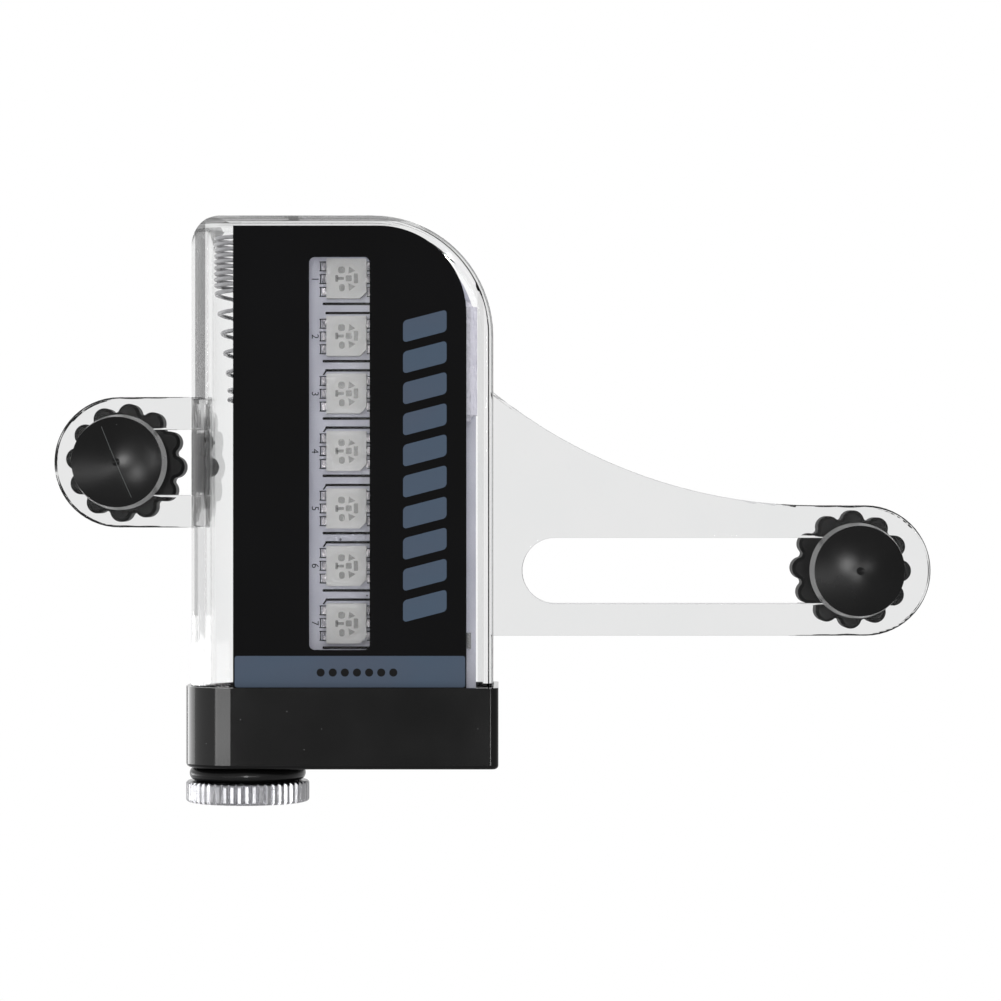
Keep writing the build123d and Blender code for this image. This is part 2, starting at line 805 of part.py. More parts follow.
# Star nuts: round lobes to grip, on the end of each bolt
for nut_name, seat_x, seat_z, turn in (
    ("left_star_nut", 0, 0, left_nut_turn),
    ("right_star_nut", right_seat_x, right_seat_z, right_nut_turn),
):
    with BuildPart() as star_nut:
        with BuildSketch(front_plane(nut_back_y)) as star:
            with Locations((seat_x, seat_z)):
                Circle(nut_root_radius)
                with PolarLocations(nut_radius - nut_lobe_radius, nut_lobe_count, turn):
                    Circle(nut_lobe_radius)
            fillet(star.vertices(), nut_root_fillet)
        extrude(amount=nut_thickness)
        star_faces = star_nut.faces().filter_by(Axis.Y)
        chamfer(star_faces.edges(), nut_edge_chamfer)
        with BuildSketch(front_plane(nut_back_y)):
            with Locations((seat_x, seat_z)):
                Circle(nut_recess_radius)
        extrude(amount=nut_recess_depth, mode=Mode.SUBTRACT)
        with BuildSketch(front_plane(nut_back_y)):
            with Locations((seat_x, seat_z)):
                Circle(shank_radius + nut_bore_clearance)
        extrude(amount=nut_thickness, mode=Mode.SUBTRACT)
    star_nut.part.label = nut_name
    export_step(star_nut.part, f"parts/{nut_name}.step")
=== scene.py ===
import math
import random

import bmesh
import bpy
from mathutils import Matrix, Vector


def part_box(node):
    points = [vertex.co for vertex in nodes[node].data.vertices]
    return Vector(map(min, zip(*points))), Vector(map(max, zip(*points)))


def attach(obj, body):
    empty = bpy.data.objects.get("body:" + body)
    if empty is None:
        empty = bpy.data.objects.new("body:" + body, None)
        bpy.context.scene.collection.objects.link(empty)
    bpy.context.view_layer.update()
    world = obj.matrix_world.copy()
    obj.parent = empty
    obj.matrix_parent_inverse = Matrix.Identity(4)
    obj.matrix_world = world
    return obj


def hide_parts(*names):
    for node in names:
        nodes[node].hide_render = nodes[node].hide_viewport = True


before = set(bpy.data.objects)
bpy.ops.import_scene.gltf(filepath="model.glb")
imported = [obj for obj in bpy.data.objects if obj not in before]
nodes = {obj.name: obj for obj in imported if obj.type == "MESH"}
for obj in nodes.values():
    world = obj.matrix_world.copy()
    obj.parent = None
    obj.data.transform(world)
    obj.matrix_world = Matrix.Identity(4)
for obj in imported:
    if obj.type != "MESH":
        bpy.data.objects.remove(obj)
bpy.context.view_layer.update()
scene = bpy.context.scene
mm = 0.001
mergeGap = 1e-7       # points of a mesh nearer than this, in m, become one
midPlane = -2.5       # depth of the light's middle plane, in mm
inkDepth = 0.012      # how far print stands proud, in mm
print("frame loaded:", len(nodes), "nodes")


def shade(red, green, blue):
    # screen level 0 to 255 to the linear colour a shader reads
    levels = [value / 255 for value in (red, green, blue)]
    linear = [v / 12.92 if v <= 0.04045 else ((v + 0.055) / 1.055) ** 2.4 for v in levels]
    return (*linear, 1.0)


def wire(tree, start, end):
    # start is another node's output, or a fixed value for the socket
    if isinstance(start, bpy.types.NodeSocket):
        tree.links.new(start, end)
    else:
        end.default_value = start


def node(tree, kind, **settings):
    made = tree.nodes.new(kind)
    for key, value in settings.items():
        setattr(made, key, value)
    return made


def sums(tree, operation, *values, clamp=False):
    made = node(tree, "ShaderNodeMath", operation=operation, use_clamp=clamp)
    for value, socket in zip(values, made.inputs):
        wire(tree, value, socket)
    return made.outputs[0]


def chain(tree, operation, first, *others):
    # the same sum over any number of values
    for value in others:
        first = sums(tree, operation, first, value)
    return first


def vectorSums(tree, operation, *values):
    made = node(tree, "ShaderNodeVectorMath", operation=operation)
    for value, socket in zip(values, made.inputs):
        wire(tree, value, socket)
    return made.outputs["Value" if operation in ("LENGTH", "DOT_PRODUCT") else "Vector"]


def mixColour(tree, share, first, second):
    # a Mix node has its share at socket 0, its colours at 6 and 7 and the mixed one at output 2
    made = node(tree, "ShaderNodeMix", data_type="RGBA")
    for value, index in ((share, 0), (first, 6), (second, 7)):
        wire(tree, value, made.inputs[index])
    return made.outputs[2]


# camera and light

view = {
    "place": (47.87, -418.5, -4.8),   # where the picture was taken from, in mm
    "sensor": 36.0,
    "lens": 118.75,
}
camData = bpy.data.cameras.new("viewCamera")
camData.sensor_width = view["sensor"]
camData.lens = view["lens"]
camera = bpy.data.objects.new("viewCamera", camData)
camera.location = Vector(view["place"]) * mm
camera.rotation_euler = (math.radians(90), 0, 0)
scene.collection.objects.link(camera)
scene.camera = camera
scene.view_settings.view_transform = "Standard"

lamps = {
    # name: stand in m, size in m, power, seen by matt surfaces, seen in gloss
    "overheadSoft": ((0.05, -0.35, 0.75), (0.7, 0.5), 4.2, True, False),
    "frontSoft": ((0.10, -0.95, 0.20), (0.6, 0.6), 3.2, True, False),
    "leftCard": ((-0.2475, -0.60, -0.078), (0.415, 0.055), 1.15, False, True),
    "sideCard": ((-0.557, -0.193, -0.085), (0.84, 0.09), 0.5, False, True),
    "backCard": ((-0.478, 0.336, -0.085), (0.42, 0.09), 0.7, False, True),
    "leftHeadSpot": ((0.024, -0.60, 0.035), (0.018, 0.07), 1.2, False, True),
    "rightHeadSpot": ((0.235, -0.60, 0.03), (0.04, 0.04), 0.35, False, True),
    "wedgeSpot": ((0.115, -0.60, -0.09), (0.05, 0.05), 0.6, False, True),
}
aim = Vector((0.048, 0.0, -0.005))
for lampName, (stand, size, power, matt, gloss) in lamps.items():
    lampData = bpy.data.lights.new(lampName, "AREA")
    lampData.shape = "RECTANGLE"
    lampData.size, lampData.size_y = size
    lampData.energy = power
    lamp = bpy.data.objects.new(lampName, lampData)
    lamp.location = stand
    lamp.rotation_euler = (aim - Vector(stand)).to_track_quat("-Z", "Y").to_euler()
    lamp.visible_diffuse = matt
    lamp.visible_glossy = gloss
    lamp.visible_transmission = False
    scene.collection.objects.link(lamp)

sky = {"seen": (1.0, 1.0, 1.0, 1.0), "light": (0.62, 0.62, 0.63, 1.0)}
world = bpy.data.worlds.new("studio")
world.use_nodes = True
scene.world = world
worldTree = world.node_tree
# white for what the camera sees straight, in a mirror or through glass
rays = node(worldTree, "ShaderNodeLightPath").outputs
forEye = chain(
    worldTree, "MAXIMUM", rays["Is Camera Ray"], rays["Is Glossy Ray"], rays["Is Transmission Ray"],
)
skyColour = mixColour(worldTree, forEye, sky["light"], sky["seen"])
wire(worldTree, skyColour, worldTree.nodes["Background"].inputs["Color"])
print("camera and light set")


# shader groups that the finishes share

effects = {
    "grainDetail": 6,
    "grainRoughness": 0.6,
    "driftDetail": 3,
    "driftFrom": 0.35,        # noise level where the second colour begins
    "driftTo": 0.65,          # and where it is full
    "speckSize": 0.16,        # the largest speck, as a share of its cell
    "scratchDetail": 2,
    "scratchLevel": 0.5,      # noise level that a scratch follows
}


def newGroup(treeKind, name, inputs, outputs):
    # inputs and outputs give each socket's name and kind
    group = bpy.data.node_groups.new(name, treeKind)
    for way, sockets in (("INPUT", inputs), ("OUTPUT", outputs)):
        for socketName, kind in sockets.items():
            group.interface.new_socket(name=socketName, in_out=way, socket_type="NodeSocket" + kind)
    entry = group.nodes.new("NodeGroupInput")
    leave = group.nodes.new("NodeGroupOutput")
    return group, entry.outputs, leave.inputs


def noiseIn(group, vector, scale, detail):
    noise = node(group, "ShaderNodeTexNoise")
    wire(group, vector, noise.inputs["Vector"])
    wire(group, scale, noise.inputs["Scale"])
    wire(group, detail, noise.inputs["Detail"])
    return noise


def makeGrainGroup():
    group, given, out = newGroup(
        "ShaderNodeTree", "surfaceGrain",
        {"Vector": "Vector", "Scale": "Float", "Roughness": "Float"},
        {"Height": "Float"},
    )
    noise = noiseIn(group, given["Vector"], given["Scale"], effects["grainDetail"])
    wire(group, given["Roughness"], noise.inputs["Roughness"])
    wire(group, noise.outputs["Fac"], out["Height"])
    return group


def makeDriftGroup():
    # slow change between a colour and a second one
    group, given, out = newGroup(
        "ShaderNodeTree", "colourDrift",
        {"Vector": "Vector", "Scale": "Float", "Amount": "Float", "First": "Color", "Second": "Color"},
        {"Color": "Color", "Value": "Float"},
    )
    noise = noiseIn(group, given["Vector"], given["Scale"], effects["driftDetail"])
    spread = node(group, "ShaderNodeMapRange")
    spread.inputs["From Min"].default_value = effects["driftFrom"]
    spread.inputs["From Max"].default_value = effects["driftTo"]
    wire(group, noise.outputs["Fac"], spread.inputs["Value"])
    share = sums(group, "MULTIPLY", spread.outputs["Result"], given["Amount"], clamp=True)
    wire(group, mixColour(group, share, given["First"], given["Second"]), out["Color"])
    wire(group, share, out["Value"])
    return group


def makeDustGroup():
    # sparse round specks of random size
    group, given, out = newGroup(
        "ShaderNodeTree", "dustSpecks",
        {"Vector": "Vector", "Scale": "Float", "Cover": "Float"},
        {"Mask": "Float"},
    )
    cells = node(group, "ShaderNodeTexVoronoi")
    wire(group, given["Vector"], cells.inputs["Vector"])
    wire(group, given["Scale"], cells.inputs["Scale"])
    parts = node(group, "ShaderNodeSeparateColor")
    wire(group, cells.outputs["Color"], parts.inputs[0])
    chosen = sums(group, "LESS_THAN", parts.outputs[0], given["Cover"])
    size = sums(group, "MULTIPLY", parts.outputs[1], effects["speckSize"])
    inside = sums(group, "LESS_THAN", cells.outputs["Distance"], size)
    wire(group, sums(group, "MULTIPLY", chosen, inside), out["Mask"])
    return group


def makeScratchGroup():
    # long thin marks where a stretched noise crosses one level
    group, given, out = newGroup(
        "ShaderNodeTree", "fineScratches",
        {"Vector": "Vector", "Stretch": "Vector", "Scale": "Float", "Width": "Float"},
        {"Mask": "Float"},
    )
    scaled = vectorSums(group, "MULTIPLY", given["Vector"], given["Stretch"])
    noise = noiseIn(group, scaled, given["Scale"], effects["scratchDetail"])
    offLevel = sums(group, "SUBTRACT", noise.outputs["Fac"], effects["scratchLevel"])
    away = sums(group, "ABSOLUTE", offLevel)
    wire(group, sums(group, "LESS_THAN", away, given["Width"]), out["Mask"])
    return group


grainGroup = makeGrainGroup()
driftGroup = makeDriftGroup()
dustGroup = makeDustGroup()
scratchGroup = makeScratchGroup()


def placed(tree, group, **values):
    made = node(tree, "ShaderNodeGroup", node_tree=group)
    for key, value in values.items():
        wire(tree, value, made.inputs[key])
    return made.outputs


usualFinish = {
    "drift": 0.6, "driftScale": 120, "roughDrift": 0.08, "dust": 0, "scratch": 0,
    "bump": 0.15, "depth": 0.00003, "plain": {},
}


def newFinish(name, look):
    # a finish with drift, grain, scratches and dust, each by its own values
    look = {**usualFinish, **look}
    material = bpy.data.materials.new(name)
    material.use_nodes = True
    tree = material.node_tree
    shader = tree.nodes["Principled BSDF"]
    coords = node(tree, "ShaderNodeTexCoord").outputs["Object"]
    drift = placed(
        tree, driftGroup, Vector=coords, Scale=look["driftScale"], Amount=look["drift"],
        First=look["colour"], Second=look["second"],
    )
    colour = drift["Color"]
    rough = sums(tree, "MULTIPLY_ADD", drift["Value"], look["roughDrift"], look["roughness"])
    if look["dust"]:
        dust = placed(tree, dustGroup, Vector=coords, Scale=look["dustScale"], Cover=look["dust"])
        colour = mixColour(tree, dust["Mask"], colour, look["dustColour"])
        rough = sums(tree, "ADD", rough, dust["Mask"], clamp=True)
    wire(tree, colour, shader.inputs["Base Color"])
    wire(tree, rough, shader.inputs["Roughness"])
    grain = placed(
        tree, grainGroup, Vector=coords, Scale=look["grainScale"], Roughness=effects["grainRoughness"],
    )
    height = grain["Height"]
    if look["scratch"]:
        marks = placed(
            tree, scratchGroup, Vector=coords, Stretch=look["stretch"],
            Scale=look["scratchScale"], Width=look["scratch"],
        )
        height = sums(tree, "SUBTRACT", height, marks["Mask"])
    bump = node(tree, "ShaderNodeBump")
    bump.inputs["Strength"].default_value = look["bump"]
    bump.inputs["Distance"].default_value = look["depth"]
    wire(tree, height, bump.inputs["Height"])
    wire(tree, bump.outputs["Normal"], shader.inputs["Normal"])
    for socketName, value in look["plain"].items():
        shader.inputs[socketName].default_value = value
    return material, tree, shader, bump, coords


def dress(material, *nodeNames):
    for nodeName in nodeNames:
        nodes[nodeName].data.materials.clear()
        nodes[nodeName].data.materials.append(material)


def coat(name, look, *nodeNames):
    # makes a finish and puts it on these nodes
    material = newFinish(name, look)[0]
    dress(material, *nodeNames)
    return material


# clear plastic of the shell: thin look face on, painted shade at grazing edges and in bands of its walls,
# darker with depth
clearLook = {
    "colour": (1.0, 1.0, 1.0, 1.0), "second": (0.97, 0.98, 0.98, 1.0), "roughness": 0.015,
    "roughDrift": 0.01, "grainScale": 60, "bump": 0.02, "depth": 0.00002,
    "plain": {"Transmission Weight": 1.0, "IOR": 1.49, "Specular Tint": (0.14, 0.14, 0.14, 1.0)},
    "absorb": 13.0,                           # density of the tint by depth
    "deep": (0.0, 0.0, 0.0, 1.0),             # and its colour
    "passed": (0.93, 0.93, 0.93, 1.0),        # light that reaches what stands behind
    # painted shade: the grey mixed into the clear colour at edges, bands, arms and the right wall
    "edge": (0.13, 0.13, 0.13, 1.0),          # the grey that the shares below mix in
    "facing": 0.5,
    # share of painted grey shade by how far the surface turns away
    "steps": ((0.0, 0.0), (0.24, 0.0), (0.32, 0.36), (0.75, 0.45), (1.0, 1.0)),
    # painted shade on the arms, the right wall, the low band and the tube, as shares of that grey
    "armGrey": 0.2, "rightGrey": 0.16, "lowGrey": 0.75, "barrelGrey": 0.2,
    # places in m: across, up, and the middle's depth
    "tubeAxis": (0.01604, -0.0025, 0.0), "tubeRadius": 0.0057, "middle": -0.0025,
    "armEnds": (0.0091, 0.0469), "leftWall": (0.0089, 0.0125), "rightWall": (0.0450, 0.0458),
    "leftBand": (0.0098, 0.0112), "lowBand": (0.0097, 0.0102), "barrel": (0.0102, 0.0158),
    "topWall": 0.0292, "topBand": (0.0298, 0.0310), "besideArm": (-0.0081, 0.0077),
    # share of light that the left and top walls pass unbent, and what is added beside the arm
    "straight": 0.2, "moreByArm": 0.12,
}
clearPlastic, clearTree, clearShader, _, clearCoords = newFinish("clearPlastic", clearLook)


# sums on the masks of the clear plastic

def times(*values):
    return chain(clearTree, "MULTIPLY", *values)


def most(*values):
    return chain(clearTree, "MAXIMUM", *values)


def above(value, limit):
    return sums(clearTree, "GREATER_THAN", value, limit)


def below(value, limit):
    return sums(clearTree, "LESS_THAN", value, limit)


def between(value, low, high):
    return times(above(value, low), below(value, high))


facing = node(clearTree, "ShaderNodeLayerWeight")
facing.inputs["Blend"].default_value = clearLook["facing"]
edgeRamp = node(clearTree, "ShaderNodeValToRGB")
stops = edgeRamp.color_ramp.elements
stops.remove(stops[1])
for index, (position, level) in enumerate(clearLook["steps"]):
    stop = stops.new(position) if index else stops[0]
    stop.color = (level, level, level, 1)
wire(clearTree, facing.outputs["Facing"], edgeRamp.inputs[0])

# the bore's own wall is left clear, so that the spring shows through it
fromAxis = vectorSums(clearTree, "SUBTRACT", clearCoords, clearLook["tubeAxis"])
levelOnly = vectorSums(clearTree, "MULTIPLY", fromAxis, (1, 1, 0))
outside = above(vectorSums(clearTree, "LENGTH", levelOnly), clearLook["tubeRadius"])

clearPlace = node(clearTree, "ShaderNodeSeparateXYZ")
wire(clearTree, clearCoords, clearPlace.inputs[0])
acrossShell = clearPlace.outputs["X"]
upShell = clearPlace.outputs["Z"]
leftWall = between(acrossShell, *clearLook["leftWall"])
topWall = above(upShell, clearLook["topWall"])
walls = most(leftWall, topWall)
armLow, armHigh = clearLook["besideArm"]
besideArm = between(upShell, armLow, armHigh)

# painted shade: grey bands in the left wall and the top one, and a light painted grey over the tube, on
# the front half only
leftBand = times(between(acrossShell, *clearLook["leftBand"]), above(upShell, armHigh))
lowBand = times(between(acrossShell, *clearLook["lowBand"]), below(upShell, armLow))
lowBand = times(lowBand, clearLook["lowGrey"])
topBand = between(upShell, *clearLook["topBand"])
barrelShading = times(between(acrossShell, *clearLook["barrel"]), clearLook["barrelGrey"])
frontHalf = below(clearPlace.outputs["Y"], clearLook["middle"])
wallShade = times(most(leftBand, topBand, lowBand, barrelShading), outside, frontHalf)

# elsewhere a painted shade darkens surfaces as they turn away, and the arms and the right wall get an
# even painted grey
notWall = sums(clearTree, "SUBTRACT", outside, walls, clamp=True)
grazing = times(edgeRamp.outputs["Color"], notWall)
# painted shade: an even grey on the arms and on the right wall
onArm = sums(clearTree, "SUBTRACT", 1, between(acrossShell, *clearLook["armEnds"]))
armGrey = times(onArm, clearLook["armGrey"])
rightWall = times(between(acrossShell, *clearLook["rightWall"]), clearLook["rightGrey"])
paintedShades = most(grazing, wallShade, armGrey, rightWall)
clearColour = clearShader.inputs["Base Color"].links[0].from_socket
shadedColour = mixColour(clearTree, paintedShades, clearColour, clearLook["edge"])
wire(clearTree, shadedColour, clearShader.inputs["Base Color"])

# both walls let part of the light pass straight, so that their bends do not turn black
straight = sums(clearTree, "ADD", clearLook["straight"], times(besideArm, clearLook["moreByArm"]))
kept = sums(clearTree, "SUBTRACT", 1, times(walls, outside, straight))
wire(clearTree, kept, clearShader.inputs["Alpha"])

# the shell hardly shades what it holds
clearRays = node(clearTree, "ShaderNodeLightPath").outputs
letThrough = node(clearTree, "ShaderNodeBsdfTransparent")
letThrough.inputs["Color"].default_value = clearLook["passed"]
clearMix = node(clearTree, "ShaderNodeMixShader")
wire(clearTree, most(clearRays["Is Shadow Ray"], clearRays["Is Diffuse Ray"]), clearMix.inputs[0])
wire(clearTree, clearShader.outputs[0], clearMix.inputs[1])
wire(clearTree, letThrough.outputs[0], clearMix.inputs[2])
clearOut = clearTree.nodes["Material Output"]
wire(clearTree, clearMix.outputs[0], clearOut.inputs["Surface"])
depthTint = node(clearTree, "ShaderNodeVolumeAbsorption")
depthTint.inputs["Color"].default_value = clearLook["deep"]
depthTint.inputs["Density"].default_value = clearLook["absorb"]
wire(clearTree, depthTint.outputs[0], clearOut.inputs["Volume"])
dress(clearPlastic, "clear_shell")

# black moulded base: glossy, with a little dust
coat("glossBlack", {
    "colour": shade(5, 5, 5), "second": shade(9, 9, 9), "roughness": 0.09, "roughDrift": 0.05,
    "driftScale": 90, "grainScale": 900, "bump": 0.08, "depth": 0.00004, "dust": 0.10, "dustScale": 1400,
    "dustColour": shade(85, 85, 85), "plain": {"Specular IOR Level": 0.12},
}, "base")

# collar: nickel-plated brass ring inside the base
coat("nickelBrass", {
    "colour": shade(205, 200, 186), "second": shade(182, 174, 152), "roughness": 0.28, "grainScale": 2500,
    "scratch": 0.02, "stretch": (1, 1, 30), "scratchScale": 300, "plain": {"Metallic": 1.0},
}, "threaded_collar")

# cap: bright turned aluminium
coat("turnedAluminium", {
    "colour": shade(132, 132, 134), "second": shade(114, 114, 117), "roughness": 0.2, "roughDrift": 0.12,
    "grainScale": 2000, "bump": 0.2, "scratch": 0.015, "stretch": (1, 1, 20), "scratchScale": 260,
    "plain": {"Metallic": 1.0},
}, "battery_cap")

coat("sealRubber", {
    "colour": shade(9, 9, 9), "second": shade(15, 15, 15), "roughness": 0.2, "grainScale": 1500,
    "plain": {"Specular IOR Level": 0.14},
}, "o_ring")

# circuit board: pale lacquer with a few dark specks
coat("boardLacquer", {
    "colour": shade(176, 177, 190), "second": shade(164, 165, 179), "roughness": 0.38, "grainScale": 2200,
    "driftScale": 260, "dust": 0.03, "dustScale": 900, "dustColour": shade(96, 96, 104),
    "plain": {"Specular IOR Level": 0.3},
}, "circuit_board")

coat("packagePlastic", {
    "colour": shade(188, 188, 188), "second": shade(181, 181, 180), "roughness": 0.5, "grainScale": 2600,
    "driftScale": 500, "bump": 0.12, "plain": {"Specular IOR Level": 0.3},
}, "led_packages_front", "led_packages_back")

coat("lensResin", {
    "colour": shade(190, 190, 189), "second": shade(182, 182, 181), "roughness": 0.3, "roughDrift": 0.06,
    "grainScale": 1200, "driftScale": 700, "bump": 0.08, "plain": {"Specular IOR Level": 0.06},
}, "led_lenses_front", "led_lenses_back")

coat("tinnedCopper", {
    "colour": shade(112, 110, 112), "second": shade(70, 70, 74), "roughness": 0.4, "grainScale": 3000,
    "driftScale": 900, "drift": 1.0, "bump": 0.4, "plain": {"Metallic": 1.0},
}, "led_leads_front", "led_leads_back", "collar_lead", "solder_joint")

coat("labelFilm", {
    "colour": shade(4, 4, 5), "second": shade(7, 7, 7), "roughness": 0.46, "roughDrift": 0.1,
    "driftScale": 60, "grainScale": 1300, "bump": 0.1, "dust": 0.02, "dustScale": 420,
    "dustColour": shade(90, 90, 90), "plain": {"Specular IOR Level": 0.02},
}, "front_label", "back_label")

# parts on the board that the labels hide
coat("chipEpoxy", {
    "colour": shade(30, 30, 32), "second": shade(42, 42, 43), "roughness": 0.6, "grainScale": 2600,
    "bump": 0.4,
}, "controller_chip")
coat("coilFerrite", {
    "colour": shade(52, 50, 50), "second": shade(70, 66, 64), "roughness": 0.55, "grainScale": 1800,
    "bump": 0.4,
}, "boost_coil")
coat("switchCan", {
    "colour": shade(206, 198, 176), "second": shade(178, 168, 140), "roughness": 0.25,
    "grainScale": 1200, "plain": {"Metallic": 1.0},
}, "motion_switch")
coat("resistorBody", {
    "colour": shade(44, 44, 48), "second": shade(60, 60, 64), "roughness": 0.35, "grainScale": 2600,
}, "chip_resistors")

# clamp bolts: satin black, with gloss drawn round the domed head
headLook = {
    "colour": shade(7, 7, 7), "second": shade(12, 12, 12), "roughness": 0.24, "roughDrift": 0.06,
    "driftScale": 200, "grainScale": 2600, "bump": 0.12, "dust": 0.04, "dustScale": 1300,
    "dustColour": shade(80, 80, 80), "plain": {"Specular IOR Level": 0.12, "Anisotropic": 0.5},
    # the mould's parting line across the left head, painted lighter as the highlight its ridge catches:
    # its normal, and half its width and length in m
    "seamAcross": (0.92, 0.0, 0.39), "seamWidth": 0.00005, "seamReach": 0.0048,
    "seamHighlight": shade(62, 64, 64),
}
clampBlack, clampTree, clampShader, _, clampCoords = newFinish("clampBlack", headLook)
turned = node(clampTree, "ShaderNodeTangent", direction_type="RADIAL", axis="Y")
wire(clampTree, turned.outputs[0], clampShader.inputs["Tangent"])
offSeam = vectorSums(clampTree, "DOT_PRODUCT", clampCoords, headLook["seamAcross"])
nearSeam = sums(clampTree, "LESS_THAN", sums(clampTree, "ABSOLUTE", offSeam), headLook["seamWidth"])
seamFlat = vectorSums(clampTree, "MULTIPLY", clampCoords, (1, 0, 1))
onHead = sums(clampTree, "LESS_THAN", vectorSums(clampTree, "LENGTH", seamFlat), headLook["seamReach"])
seamMask = sums(clampTree, "MULTIPLY", nearSeam, onHead)
# the real parting line painted light grey, a painted highlight
headColour = clampShader.inputs["Base Color"].links[0].from_socket
seamed = mixColour(clampTree, seamMask, headColour, headLook["seamHighlight"])
wire(clampTree, seamed, clampShader.inputs["Base Color"])
dress(clampBlack, "left_clamp_bolt", "right_clamp_bolt")

coat("nutBlack", {
    "colour": shade(10, 10, 10), "second": shade(16, 16, 16), "roughness": 0.5, "roughDrift": 0.1,
    "driftScale": 160, "grainScale": 1800, "bump": 0.25, "dust": 0.05, "dustScale": 1200,
    "dustColour": shade(60, 60, 60), "plain": {"Specular IOR Level": 0.12},
}, "left_star_nut", "right_star_nut")
print("finishes made")


# geometry node trees

def newTree(name, inputs):
    geometry = {"Geometry": "Geometry"}
    return newGroup("GeometryNodeTree", name, {**geometry, **inputs}, geometry)


def endTree(tree, shape, given, leave):
    real = node(tree, "GeometryNodeRealizeInstances")
    paint = node(tree, "GeometryNodeSetMaterial")
    wire(tree, shape, real.inputs[0])
    wire(tree, real.outputs[0], paint.inputs["Geometry"])
    wire(tree, given["Finish"], paint.inputs["Material"])
    wire(tree, paint.outputs[0], leave[0])


def makeRowTree():
    # copies of the piece's own shape, Count of them, a Step apart
    tree, given, leave = newTree("rowOfPieces", {"Count": "Int", "Step": "Vector", "Finish": "Material"})
    line = node(tree, "GeometryNodeMeshLine", mode="OFFSET", count_mode="TOTAL")
    wire(tree, given["Count"], line.inputs["Count"])
    wire(tree, given["Step"], line.inputs["Offset"])
    spread = node(tree, "GeometryNodeInstanceOnPoints")
    wire(tree, line.outputs[0], spread.inputs["Points"])
    wire(tree, given["Geometry"], spread.inputs["Instance"])
    endTree(tree, spread.outputs[0], given, leave)
    return tree


def makeWireTree():
    # round wire along the piece's own curve
    tree, given, leave = newTree("wireOnPath", {"Radius": "Float", "Sides": "Int", "Finish": "Material"})
    ring = node(tree, "GeometryNodeCurvePrimitiveCircle")
    wire(tree, given["Sides"], ring.inputs["Resolution"])
    wire(tree, given["Radius"], ring.inputs["Radius"])
    sweep = node(tree, "GeometryNodeCurveToMesh")
    sweep.inputs["Fill Caps"].default_value = True
    wire(tree, given["Geometry"], sweep.inputs["Curve"])
    wire(tree, ring.outputs[0], sweep.inputs["Profile Curve"])
    smooth = node(tree, "GeometryNodeSetShadeSmooth")
    wire(tree, sweep.outputs[0], smooth.inputs[0])
    endTree(tree, smooth.outputs[0], given, leave)
    return tree


rowTree = makeRowTree()
wireTree = makeWireTree()


def addObject(name, data):
    made = bpy.data.objects.new(name, data)
    scene.collection.objects.link(made)
    return made


def asMesh(holder):
    depsgraph = bpy.context.evaluated_depsgraph_get()
    return bpy.data.meshes.new_from_object(holder.evaluated_get(depsgraph))


def grown(holder, tree, **values):
    # runs the tree on the holder and gives the result back as a plain mesh object
    name = holder.name
    modifier = holder.modifiers.new("grow", "NODES")
    modifier.node_group = tree
    for item in tree.interface.items_tree:
        if item.in_out == "INPUT" and item.name in values:
            modifier[item.identifier] = values[item.name]
    mesh = asMesh(holder)
    holder.modifiers.remove(modifier)
    bpy.data.objects.remove(holder)
    return addObject(name, mesh)


def meshFrom(name, build):
    bm = bmesh.new()
    build(bm)
    bmesh.ops.remove_doubles(bm, verts=bm.verts, dist=mergeGap)
    bmesh.ops.recalc_face_normals(bm, faces=bm.faces)
    mesh = bpy.data.meshes.new(name)
    bm.to_mesh(mesh)
    bm.free()
    return mesh


def plate(outline, front, thickness):
    # prism over an outline of (x, z) points in mm, from depth front towards the back
    def build(bm):
        near = [bm.verts.new((x * mm, front * mm, z * mm)) for x, z in outline]
        far = [bm.verts.new((x * mm, (front + thickness) * mm, z * mm)) for x, z in outline]
        bm.faces.new(near)
        bm.faces.new(far[::-1])
        for index in range(len(outline)):
            after = (index + 1) % len(outline)
            bm.faces.new((near[index], near[after], far[after], far[index]))
    return build


def several(builds):
    def build(bm):
        for one in builds:
            one(bm)
    return build


def moved(outline, x, z):
    return [(px + x, pz + z) for px, pz in outline]


def roundedBar(width, height, corner, x=0.0, z=0.0, steps=4):
    # points of a rounded rectangle with its middle at x, z
    points = []
    for sideX, sideZ, turn in ((1, 1, 0), (-1, 1, 90), (-1, -1, 180), (1, -1, 270)):
        for step in range(steps + 1):
            angle = math.radians(turn + 90 * step / steps)
            points.append((
                sideX * (width / 2 - corner) + corner * math.cos(angle),
                sideZ * (height / 2 - corner) + corner * math.sin(angle),
            ))
    return moved(points, x, z)


def toBack(mesh):
    # mirror image behind the middle plane, faces outward again
    mesh.transform(Matrix.Translation((0, 2 * midPlane * mm, 0)) @ Matrix.Scale(-1, 4, (0, 1, 0)))
    mesh.flip_normals()


def bothFaces(name, build, material, count=1, step=(0, 0, 0), body="casing"):
    # a row of the same print on the front and the back of the light
    for side in ("front", "back"):
        holder = addObject(f"{side}_{name}", meshFrom(name, build))
        piece = grown(holder, rowTree, Count=count, Step=step, Finish=material)
        if side == "back":
            toBack(piece.data)
        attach(piece, body)


print("trees made")

# print on the labels: a stripe, slanted bars and seven dots

